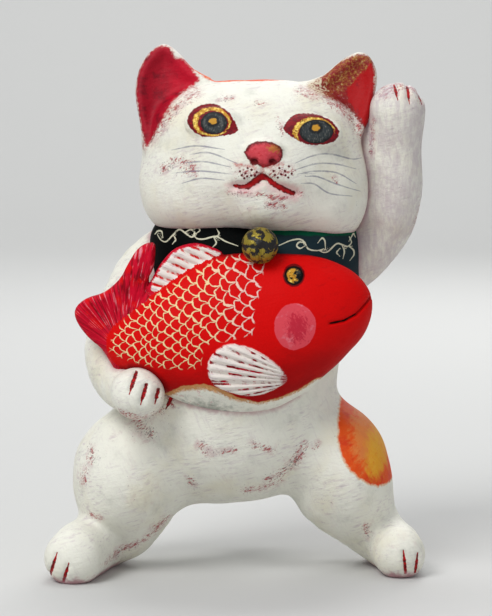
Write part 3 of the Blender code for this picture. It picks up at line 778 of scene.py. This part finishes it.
WHITE = tint(230, 229, 217)
CREAM = tint(222, 215, 188)
LILAC = tint(176, 156, 170)
PINK_STAIN_AND_SHADE = tint(176, 122, 132)
GREY_STAIN_AND_SHADE = tint(150, 154, 144)
PIT = tint(84, 66, 70)
CRIMSON = tint(158, 0, 30)
BRIGHT_CRIMSON = tint(196, 4, 40)
DARK_CRIMSON = tint(88, 0, 18)
MAROON = tint(128, 0, 18)
EAR_RED = tint(168, 0, 6)
RUST = tint(132, 30, 30)
ORANGE = tint(220, 78, 8)
DEEP_ORANGE = tint(206, 52, 4)
PALE_ORANGE = tint(216, 148, 76)
OLIVE_GOLD = tint(186, 146, 66)
YELLOW = tint(218, 168, 40)
GOLD = tint(196, 142, 44)
PALE_GOLD = tint(246, 214, 104)
OLD_GOLD = tint(120, 78, 24)
PUPIL = tint(48, 54, 56)
PUPIL_PALE = tint(118, 118, 112)
PUPIL_DARK = tint(18, 20, 22)
CORAL = tint(204, 66, 76)
PALE_CORAL = tint(224, 112, 116)
LIP_RED = tint(176, 2, 10)
LIP_DARK = tint(92, 0, 8)
WHISKER_GREY = tint(112, 112, 132)
BLACK = tint(8, 6, 6)
FISH_RED = tint(208, 0, 0)
FISH_DARK = tint(158, 0, 2)
FISH_SHADE = tint(112, 0, 4)
SCALE_CREAM = tint(236, 212, 160)
SCALE_PINK = tint(236, 196, 186)
OCHRE = tint(186, 124, 52)
FIN_WHITE = tint(230, 222, 214)
FIN_SHADE = tint(184, 158, 174)
RAY_PINK = tint(222, 140, 152)
CHEEK = tint(216, 72, 84)
CHEEK_DARK = tint(180, 20, 48)
COLLAR_BLACK = tint(2, 4, 4)
COLLAR_LIT_TEAL = tint(26, 42, 48)
COLLAR_GREEN = tint(2, 74, 50)
VINE_CREAM = tint(198, 196, 172)
BELL_GILT = tint(150, 132, 44)
BELL_PALE = tint(204, 190, 100)


def white_ground(paint):
    """The whitewash: brushed on, thin in places, with pink and grey stains rubbed into it, and painted
    shade in the corners where parts meet.
    """
    paint.add(CREAM, paint.blots(-0.1, 0.5, 9, 4) * 0.55)
    grey = paint.blots(-0.05, 0.5, 3.6, 6, 0.68) * paint.blots(-0.3, 0.2, 14, 2)
    paint.add(GREY_STAIN_AND_SHADE, grey * 0.3)
    level, steep = (paint.blots(-0.05, 0.4, 0.7, 5, 0.7, squash=(0.25, 0.6, 1.6), turn=turn)
                    for turn in (14, -64))
    which = paint.blots(-0.12, 0.12, 6, 2)
    strokes = level * which + steep * (1.0 - which)
    paint.add(LILAC, strokes * paint.blots(-0.35, 0.25, 6, 3) * 0.52)
    wear = paint.measure("wear")
    blush = paint.ramp(paint.noise(2.0, 6, 0.72) + wear * 0.18, 0.0, 0.5)
    blush = blush * paint.ramp(paint.noise(10, 3) + wear, -0.1, 0.5)
    paint.add(PINK_STAIN_AND_SHADE, blush * 0.42)
    rubbed = paint.noise(0.45, 5, 0.75, squash=(0.5, 1, 1.4), turn=30) + wear * 0.4
    rubbed = rubbed + paint.noise(1.8, 3) * 0.3
    paint.add(CRIMSON, paint.ramp(rubbed, 0.38, 0.56) * paint.ramp(wear, 0.2, 0.8) * 0.85)
    specks = paint.noise(0.34, 2) + paint.noise(5, 3) * 0.3 + wear * 0.3
    paint.add(PIT, paint.ramp(specks, 0.47, 0.56) * 0.6)
    # Painted shade, in the pink of the stains, in the corners where the next part is close.
    corner = paint.ramp(paint.measure("crevice_shade") + paint.noise(1.4, 4) * 0.6, 1.0, -0.1)
    paint.add(PINK_STAIN_AND_SHADE, corner * 0.6)


def brush_marks(paint):
    """Streaks and grain of the brushed surface, as a height."""
    streaks = paint.noise(1.0, 5, 0.7, squash=(0.3, 0.6, 1.5), turn=14)
    return streaks * 0.7 + paint.noise(0.8, 4, 0.65) * 0.5


def spotted_ears(paint, fray):
    """Red hollows of the ears. The right one is rusty and speckled with gold but for one corner."""
    left = paint.coat(CRIMSON, DARK_CRIMSON, paint.blots(-0.1, 0.4, 3.0, 5, 0.6))
    bright = paint.ramp(paint.x + paint.noise(2.5, 4) * 5.0, -14.5, -9.0)
    left = paint.coat(left, BRIGHT_CRIMSON, bright * 0.85)
    scarlet = paint.coat(EAR_RED, MAROON, paint.blots(0.05, 0.4, 2.0, 5, 0.65))
    rust = paint.coat(RUST, PINK_STAIN_AND_SHADE, paint.blots(0.1, 0.4, 0.7, 5, 0.75, turn=40) * 0.7)
    high = paint.ramp(paint.x * -0.5 + paint.z + paint.noise(1.6, 4) * 2.0, 78.5, 82.0)
    specks = paint.blots(-0.1, 0.3, 0.5, 6, 0.8)
    rust = paint.coat(rust, OLIVE_GOLD, high * specks * 0.85)
    inner = paint.ramp(paint.x + paint.z * 0.3 + paint.noise(1.2, 4) * 2.0, 45.0, 41.5)
    flecks = paint.ramp(paint.noise(0.5, 5, 0.75) + inner * 0.4, 0.2, 0.44)
    rust = paint.coat(rust, CREAM, flecks * 0.8)
    corner = paint.least([paint.x - paint.z * 0.91 + 61.8, paint.x + paint.z * 0.57 - 70.6])
    right = paint.coat(rust, scarlet, paint.ramp(corner + paint.noise(1.4, 4) * 1.6, 0.0, 0.8))
    red = paint.coat(left, right, paint.ramp(paint.x, 2.0, 3.0))
    paint.add(red, paint.within(paint.measure("ears") + fray * 0.6, 0.1, 0.7))


def painted_eye(paint, edge, ring, hole, pupil, dot):
    """Gold ring, grey pupil and ochre dot of one eye. Each place is a centre and its radii."""
    facing = paint.within(paint.y, -5.0)
    rim = paint.within(paint.measure("eyes") + edge, 0.0, 0.14)
    ragged = paint.noise(0.8, 5, 0.65) * 0.16
    band = paint.within(paint.oval(*ring) + ragged, 1.0, 0.06)
    band = band * (1.0 - paint.within(paint.oval(*hole) + ragged, 1.0, 0.06))
    gold = paint.coat(GOLD, PALE_GOLD, paint.blots(-0.1, 0.2, 0.7, 4))
    gold = paint.coat(gold, OLD_GOLD, paint.blots(0.0, 0.3, 0.6, 4, 0.7))
    paint.add(gold, band * rim * paint.blots(-0.4, -0.15, 1.0, 5, 0.65))
    streaks = paint.noise(0.5, 5, 0.75, squash=(1.6, 1, 0.6))
    dark = paint.coat(PUPIL, PUPIL_PALE, paint.ramp(streaks, 0.0, 0.4))
    away = paint.oval(*pupil)
    dark = paint.coat(dark, PUPIL_DARK, paint.ramp(away + paint.noise(0.6, 3) * 0.25, 0.7, 1.0))
    paint.add(dark, paint.within(away + edge * 0.3, 1.0, 0.06) * facing)
    spot = paint.oval(*dot) + paint.noise(0.5, 4) * 0.5
    paint.add(PUPIL_DARK, paint.within(spot, 1.7, 0.4) * facing * 0.8)
    paint.add(GOLD, paint.within(spot, 0.9, 0.3) * facing)


def painted_muzzle(paint, edge, fray):
    """Nose, mouth, whisker dots and whiskers."""
    nose = paint.measure("nose")
    coral = paint.coat(CORAL, LIP_RED, paint.blots(0.0, 0.35, 0.8, 5, 0.75) * 0.8)
    brushed_on = paint.noise(0.7, 5, 0.7, squash=(0.6, 1, 1.4), turn=-30)
    coral = paint.coat(coral, PALE_CORAL, paint.ramp(brushed_on, 0.1, 0.4) * 0.7)
    rubbed = paint.within(paint.oval((6.9, 79.9), (1.1, 0.8)) + fray, 1.0, 0.8)
    coral = paint.coat(coral, OCHRE, rubbed * 0.8)
    coral = paint.coat(LIP_DARK, coral, paint.within(nose + edge * 2.0, -0.4, 0.9))
    paint.add(coral, paint.within(nose + edge, 0.05, 0.2))
    nostrils = paint.least([paint.oval((x, 77.3), (0.8, 0.6)) for x in (3.1, 6.5)])
    nostrils = paint.within(nostrils + edge * 1.6, 1.0, 0.5) * paint.within(paint.y, -15.0)
    paint.add(LIP_DARK, nostrils)
    smear = paint.within(paint.measure("smears") + fray * 0.5, 0.2, 0.7)
    paint.add(LIP_RED, smear * 0.75)
    lips = paint.measure("lips")
    chin = paint.within(lips + fray * 0.8, 1.0, 2.0) * paint.within(paint.z, 73.6, 1.2)
    paint.add(RAY_PINK, chin * 0.4)
    to_rim = lips + paint.noise(0.8, 5, 0.7) * 0.9
    lip = paint.coat(LIP_RED, LIP_DARK, paint.ramp(to_rim, -0.5, 0.1))
    paint.add(lip, paint.within(lips + edge * 1.2, 0.02, 0.2))
    dots = paint.least([paint.oval(dot, (0.22, 0.22)) for dot in MUZZLE_DOTS])
    dots = paint.within(dots + edge * 2.0, 1.0, 0.5) * paint.within(paint.y, -8.0)
    paint.add(DARK_CRIMSON, dots)
    whiskers = paint.within(abs(paint.measure("whisker_across")) + edge * 1.6, 1.0, 0.8)
    whiskers = whiskers * paint.within(paint.measure("whisker_near"), 0.3)
    faint = paint.blots(-0.5, 0.2, 1.8, 3)
    paint.add(WHISKER_GREY, whiskers * (faint * 0.4 + 0.28))


def make_head_finish():
    paint = Paint("painted_head", WHITE)
    white_ground(paint)
    edge = paint.noise(0.6, 5, 0.65) * 0.34
    fray = paint.noise(0.6, 6, 0.75, squash=(0.8, 1, 1.3), turn=40) * 2.0

    crown = paint.egg((-2.0, 10.0, 92.0), (18, 13.4, 9)) + edge * 0.2 + paint.noise(6, 2) * 0.12
    orange = paint.coat(ORANGE, PALE_ORANGE, paint.blots(0.1, 0.5, 1.4, 4))
    paint.add(orange, paint.within(crown, 1.0, 0.05))

    spotted_ears(paint, fray)
    rim = paint.within(paint.measure("eyes") + edge, 0.05, 0.14)
    maroon = paint.coat(MAROON, DARK_CRIMSON, paint.blots(-0.2, 0.2, 0.9, 4))
    maroon = paint.coat(maroon, LIP_RED, paint.blots(0.1, 0.3, 0.9, 4) * 0.7)
    paint.add(maroon, rim)
    painted_eye(paint, edge, ring=((-4.5, 84.35), (3.45, 2.6)), hole=((-4.25, 84.2), (2.8, 2.15)),
                pupil=((-4.1, 84.15), (2.4, 2)), dot=((-4.3, 84.5), (0.75, 0.62)))
    painted_eye(paint, edge, ring=((14, 82.55), (3.8, 2.62)), hole=((14.4, 82.1), (3.4, 2.5)),
                pupil=((14.4, 82.6), (3.1, 2.15)), dot=((14.35, 83.3), (0.75, 0.66)))
    painted_muzzle(paint, edge, fray)
    return paint.finish(0.55, brush_marks(paint), 0.0003, gloss=0.22)


def make_body_finish():
    paint = Paint("painted_body", WHITE)
    white_ground(paint)
    edge = paint.noise(1.0, 5, 0.6) * 0.6
    thin = paint.noise(1.3, 5, 0.68, squash=(1.7, 1, 0.45)) + paint.noise(5.0, 3) * 0.4
    arm = paint.within(paint.measure("arm"), 0.6, 2.4) * paint.ramp(thin, -0.5, 0.35)
    paint.add(LILAC, arm * 0.6)

    patch = paint.coat(ORANGE, DEEP_ORANGE, paint.blots(-0.1, 0.4, 2.0, 5, squash=(1, 1, 0.6), turn=30))
    streak = paint.noise(1.2, 5, 0.7, squash=(1.6, 1, 0.5), turn=-50)
    tan = paint.within(paint.oval((24.2, 26.6), (2.8, 5.4)) + streak * 1.6, 1.0, 0.9)
    patch = paint.coat(patch, PALE_ORANGE, tan * 0.6)
    smear = paint.noise(1.6, 5, 0.7, squash=(1.5, 1, 0.5), turn=25)
    yellow = paint.within(paint.oval((25.9, 22.8), (2.2, 4.0)) + smear * 1.1, 1.0, 0.9)
    patch = paint.coat(patch, YELLOW, yellow * 0.75)
    patch = paint.coat(patch, DEEP_ORANGE, paint.blots(0.15, 0.5, 0.9, 5, 0.7) * 0.7)
    on_tail = paint.egg((3.5, 20.0, 25.5), (1, 1, 1)) + paint.noise(5.0, 2) * 0.8 - 6.0
    patches = paint.least([paint.measure("hip"), on_tail])
    paint.add(PALE_ORANGE, paint.within(patches + edge, 0.3, 0.3) * 0.6)
    paint.add(patch, paint.within(patches + edge, 0.0, 0.35))

    toes = paint.within(abs(paint.measure("toe_across")) + paint.noise(0.6, 4) * 0.7, 1.0, 0.4)
    toes = toes * paint.within(paint.measure("toe_near"), 0.6, 0.2)
    cut = paint.coat(LIP_RED, LIP_DARK, paint.blots(-0.2, 0.2, 0.5, 4))
    paint.add(cut, toes)
    sole = paint.ramp(paint.z + paint.noise(1.6, 5, 0.65) * 2.0, 1.8, 0.2)
    paint.add(PINK_STAIN_AND_SHADE, sole * 0.85)
    return paint.finish(0.55, brush_marks(paint), 0.0003, gloss=0.22)


def make_collar_finish():
    paint = Paint("painted_collar", COLLAR_BLACK)
    # Painted light: the near black band turns a lighter slate teal towards its right side, where the light
    # falls.
    paint.add(COLLAR_LIT_TEAL, paint.ramp(paint.x + paint.noise(1.2, 3) * 0.8, 5.0, 7.0))
    upper = paint.z + paint.x * 0.04 + paint.noise(1.6, 4) * 0.5
    paint.add(COLLAR_GREEN, paint.ramp(upper, 63.9, 64.3) * paint.ramp(paint.x, 4.0, 7.0))
    across = abs(paint.measure("vine_across")) + paint.noise(0.5, 5, 0.7) * 0.6
    vines = paint.within(across, 1.0, 0.5) * paint.within(paint.measure("vine_near"), 0.4)
    paint.add(VINE_CREAM, vines * paint.blots(-0.5, -0.1, 0.9, 4))
    return paint.finish(0.7, vines * 0.6 + brush_marks(paint) * 0.4, 0.0002, gloss=0.06)


def scale_lines(paint):
    """Staggered half rings, open towards the head: 1 on their lines, which are thicker below."""
    column = paint.measure("scale_column") + paint.noise(5.0, 2) * 0.9 + paint.noise(1.8, 2) * 0.3
    row = paint.measure("scale_row") + paint.noise(5, 2, turn=45) * 0.9 + paint.noise(1.6, 2, turn=45) * 0.3
    ahead = paint.math("CEIL", column)
    off_row = row - paint.math("MODULO", ahead, 2.0)
    off_row = off_row - paint.math("ROUND", off_row / 2.0) * 2.0
    off_column = column - ahead
    reach = paint.math("SQRT", off_row * off_row + off_column * off_column)
    off_line = abs(reach - 0.95) + off_row * 0.02 + abs(off_row) * 0.03 + paint.noise(0.5, 4) * 0.09
    lines = paint.within(off_line, 0.105, 0.05)
    return lines * paint.blots(-0.46, -0.3, 0.9, 4, 0.6)


def painted_fins(paint, edge):
    """Brushed tail, back fin and side fin. The ribs stand out from deeper red grooves."""
    on_ray = paint.measure("ray") + paint.noise(1.8, 3) * 0.2
    groove = abs(on_ray - paint.math("ROUND", on_ray))
    along = (paint.x + paint.z) * 0.22
    hairs = paint.grain(paint.measure("ray") * 5.0, along)
    tail = paint.within(paint.measure("tail"), 0.5, 0.3)
    deep = paint.ramp(paint.grain(paint.measure("ray") * 3.0, along), -0.1, 0.3)
    crimson = paint.coat(BRIGHT_CRIMSON, MAROON, deep)
    crimson = paint.coat(crimson, FISH_RED, paint.blots(0.0, 0.3, 2.4, 4) * 0.8)
    crimson = paint.coat(crimson, RAY_PINK, paint.ramp(hairs + paint.noise(2.4, 4) * 0.4, 0.16, 0.4) * 0.85)
    paint.add(crimson, tail)

    rib = paint.coat(FIN_WHITE, FIN_SHADE, paint.ramp(hairs + paint.noise(0.7, 4) * 0.4, 0.05, 0.5) * 0.8)
    gaps = paint.blots(-0.12, 0.12, 2.6, 3, squash=(1.6, 1, 0.7), turn=20)
    open_groove = paint.ramp(groove + hairs * 0.08, 0.2, 0.1) * gaps
    white = paint.within(paint.measure("back_fin") + edge * 2.0 + hairs * 0.25, -0.4, 0.3)
    paint.add(BRIGHT_CRIMSON, paint.within(paint.measure("back_fin") + edge, 0.2, 0.3))
    paint.add(paint.coat(rib, FISH_RED, open_groove), white)
    plum = paint.coat(MAROON, BRIGHT_CRIMSON, paint.blots(-0.1, 0.2, 1.4, 4))
    side_fin = paint.coat(rib, plum, open_groove)
    side_fin = paint.coat(side_fin, RAY_PINK, paint.blots(0.2, 0.5, 0.9, 5, 0.7) * 0.7)
    tip = paint.ramp(paint.x + paint.noise(0.9, 4) * 1.6, 7.6, 8.8)
    side_fin = paint.coat(side_fin, CRIMSON, tip * 0.7)
    paint.add(side_fin, paint.within(paint.measure("side_fin") + edge * 0.8, 0.1, 0.25))


def make_fish_finish():
    paint = Paint("painted_sea_bream", FISH_RED)
    edge = paint.noise(0.8, 4) * 0.3
    fray = paint.noise(0.5, 5, 0.7) * 1.2
    facing = paint.within(paint.y, -14.0)

    shade = paint.ramp(paint.noise(5.0, 3) * 4.0 - paint.z + paint.x * 0.15, -46.0, -34.0)
    paint.add(FISH_DARK, shade)
    strokes = paint.blots(0.1, 0.6, 1.2, 5, 0.65, squash=(0.4, 1, 1.5), turn=20)
    paint.add(FISH_DARK, strokes * 0.5)
    # Painted shade in the corners where the fish meets the head, body and collar.
    corner = paint.ramp(paint.measure("crevice_shade") + paint.noise(1.2, 3) * 0.4, 1.3, 0.0)
    paint.add(FISH_SHADE, corner * 0.8)

    above = paint.measure("above_belly")
    # Grey smudges at random, and painted shade that greys the white belly more towards its underside.
    smudge_and_shade = paint.noise(1.6, 5, 0.7) - above * 0.2
    belly = paint.coat(WHITE, GREY_STAIN_AND_SHADE, paint.ramp(smudge_and_shade, 0.3, 1.2))
    belly = paint.coat(belly, LILAC, paint.blots(0.1, 0.5, 0.9, 5, 0.75) * 0.7)
    reddish = paint.blots(0.1, 0.5, 0.9, 5, 0.7) * paint.ramp(paint.x, -2.0, -6.0)
    belly = paint.coat(belly, CHEEK, reddish * 0.5)
    ochre = paint.coat(OCHRE, PALE_ORANGE, paint.blots(0.0, 0.3, 0.8, 4))
    thin = paint.ramp(paint.x, -2.0, 3.0) * 0.6
    belly = paint.coat(belly, ochre, paint.ramp(above - thin + fray * 0.8, -1.4, -0.6) * 0.9)
    paint.add(belly, paint.within(above + edge, 0.0, 0.3))

    lines = scale_lines(paint) * paint.within(paint.measure("scaled") + edge, 0.0, 0.5)
    cream = paint.coat(SCALE_CREAM, SCALE_PINK, paint.ramp(paint.x + paint.noise(2, 3) * 4.0, -8.0, 4.0))
    paint.add(cream, lines * 0.95)
    painted_fins(paint, edge)

    rouge = paint.coat(CHEEK, RAY_PINK, paint.blots(0.1, 0.5, 1.6, 4) * 0.6)
    strokes = paint.noise(0.6, 6, 0.75, squash=(1.3, 1, 0.7), turn=25)
    middle = paint.oval((10.9, 47.7), (2.4, 3.2)) + strokes * 1.5
    rouge = paint.coat(rouge, CHEEK_DARK, paint.within(middle, 0.72, 0.5) * 0.75)
    disc = paint.oval((10.45, 47.95), (3.7, 4.2)) + paint.noise(2.4, 4) * 0.1
    paint.add(rouge, paint.within(disc, 1.0, 0.04) * facing)
    eye = paint.oval(FISH_EYE, (1.75, 1.75)) + edge * 0.3
    iris = paint.coat(GOLD, PALE_GOLD, paint.blots(0.1, 0.3, 0.5, 4))
    iris = paint.coat(iris, PUPIL, paint.ramp(paint.x + paint.noise(0.6, 5) * 2.2, 10.2, 10.9))
    iris = paint.coat(iris, BLACK, paint.blots(0.0, 0.16, 0.6, 4) * 0.85)
    paint.add(FISH_SHADE, paint.within(eye, 1.12, 0.12) * facing)
    paint.add(BLACK, paint.within(eye, 0.98, 0.1) * facing)
    paint.add(iris, paint.within(eye, 0.74, 0.14) * facing)
    mouth = paint.within(paint.measure("mouth") + edge * 0.4, 0.16, 0.16)
    paint.add(FISH_DARK, mouth * facing)
    paint.add(BLACK, mouth * facing * paint.ramp(paint.x + edge, 22.0, 21.2))
    height = lines * 0.8 + brush_marks(paint) * 0.5
    return paint.finish(0.6, height, 0.00025, gloss=0.1)


def make_bell_finish():
    paint = Paint("worn_gilt", BELL_GILT)
    patches = paint.blots(-0.05, 0.03, 1.4, 4, 0.6)
    middle = paint.within(abs(paint.z - 62.3) + paint.noise(0.6, 4) * 0.5, 0.35, 0.3)
    patches = paint.math("MAXIMUM", patches, middle)
    paint.add(BELL_PALE, paint.blots(0.15, 0.4, 0.7, 4))
    paint.add(BLACK, patches)
    return paint.finish(0.42, patches * -0.6 + paint.noise(0.5, 3) * 0.5, 0.0003,
                        metallic=(1.0 - patches) * 0.45, gloss=0.4)


# The bell
def make_bell():
    low, high = (np.array(corner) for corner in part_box("bell"))
    centre = (low + high) / 2
    radius = (high[0] - low[0]) / 2
    mesh = bpy.data.meshes.new("bell_dressed")
    shape = bmesh.new()
    bmesh.ops.create_uvsphere(shape, u_segments=96, v_segments=48, radius=radius)
    slot_half, seam_half = 0.0007, 0.0006
    slot_depth, seam_depth = 0.12, 0.02        # as shares of the bell's radius
    for vert in shape.verts:
        slot = math.exp(-(vert.co.x / slot_half) ** 4) * (vert.co.z < 0) * (vert.co.y < 0)
        seam = math.exp(-(vert.co.z / seam_half) ** 2)
        vert.co *= 1 - slot_depth * slot - seam_depth * seam
    bmesh.ops.translate(shape, verts=shape.verts, vec=centre)
    shape.to_mesh(mesh)
    shape.free()
    mesh.shade_smooth()
    mesh.materials.append(make_bell_finish())
    return placed("gilt_bell", mesh, "bell")


# Floor, light and camera
def make_floor():
    """A pale sheet that runs back and curves up behind."""
    mesh = bpy.data.meshes.new("floor")
    shape = bmesh.new()
    half, front, back, bend, top = 9.0, -9.0, 1.8, 1.0, 4.0
    profile = [(front, 0.0), (back, 0.0)]
    profile += [(back + bend * math.sin(a), bend * (1 - math.cos(a))) for a in np.radians(range(6, 91, 6))]
    profile += [(back + bend, top)]
    rows = [[shape.verts.new((x, y, z)) for x in (-half, half)] for y, z in profile]
    for (a, b), (c, d) in zip(rows, rows[1:]):
        shape.faces.new((a, b, d, c))
    shape.to_mesh(mesh)
    shape.free()
    mesh.shade_smooth()
    plain = bpy.data.materials.new("pale_floor")
    plain.use_nodes = True
    shader = plain.node_tree.nodes["Principled BSDF"]
    shader.inputs["Base Color"].default_value = tint(196, 196, 194)
    shader.inputs["Roughness"].default_value = 0.8
    mesh.materials.append(plain)
    floor = bpy.data.objects.new("floor", mesh)
    bpy.context.scene.collection.objects.link(floor)


def look_at(thing, target):
    way = np.array(target) - np.array(thing.location)
    flat = math.hypot(way[0], way[1])
    thing.rotation_euler = (math.pi / 2 + math.atan2(way[2], flat), 0, math.atan2(-way[0], way[1]))


def make_light(name, place, size, watts, target=(0, 0, 0.12)):
    lamp = bpy.data.lights.new(name, "AREA")
    lamp.shape = "DISK"
    lamp.size = size
    lamp.energy = watts
    thing = bpy.data.objects.new(name, lamp)
    bpy.context.scene.collection.objects.link(thing)
    thing.location = place
    look_at(thing, target)


def make_camera():
    lens = bpy.data.cameras.new("camera")
    lens.sensor_fit = "VERTICAL"
    lens.sensor_height = 36.0
    lens.lens = 149.07
    camera = bpy.data.objects.new("camera", lens)
    bpy.context.scene.collection.objects.link(camera)
    target = (0.00473, 0.002, 0.12228)
    away, up = 1.2, math.radians(6)
    camera.location = (target[0], target[1] - away * math.cos(up), target[2] + away * math.sin(up))
    look_at(camera, target)
    bpy.context.scene.camera = camera


def make_studio():
    make_floor()
    make_light("key", (-0.7, -0.95, 1.35), 0.9, 19)
    make_light("fill", (1.1, -1.1, 0.5), 1.2, 2)
    make_light("rim", (0.4, 1.2, 0.9), 0.8, 5)
    make_light("backdrop", (0.0, 1.0, 2.6), 1.6, 45, target=(0, 2.8, 0.7))
    world = bpy.data.worlds.new("studio")
    world.use_nodes = True
    sky = world.node_tree.nodes["Background"]
    sky.inputs["Color"].default_value = tint(225, 228, 232)
    sky.inputs["Strength"].default_value = 0.6
    bpy.context.scene.world = world
    bpy.context.scene.view_settings.view_transform = "Standard"
    make_camera()


dressed("cat_head", head, (-22, -24, 58), (28, 20, 101), HEAD_STEP, head_paint, make_head_finish(),
        "cat")
dressed("cat_body", body, (-38, -28, -1), (38, 27, 94), BODY_STEP, body_paint, make_body_finish(),
        "cat")
dressed("collar", collar, (-19, -20, 44), (26, 19, 71), COLLAR_STEP, collar_paint, make_collar_finish(),
        "cat")
dressed("sea_bream", bream, (-32, -26, 29), (27, -3, 64), FISH_STEP, fish_paint, make_fish_finish(),
        "cat")
make_bell()
make_studio()
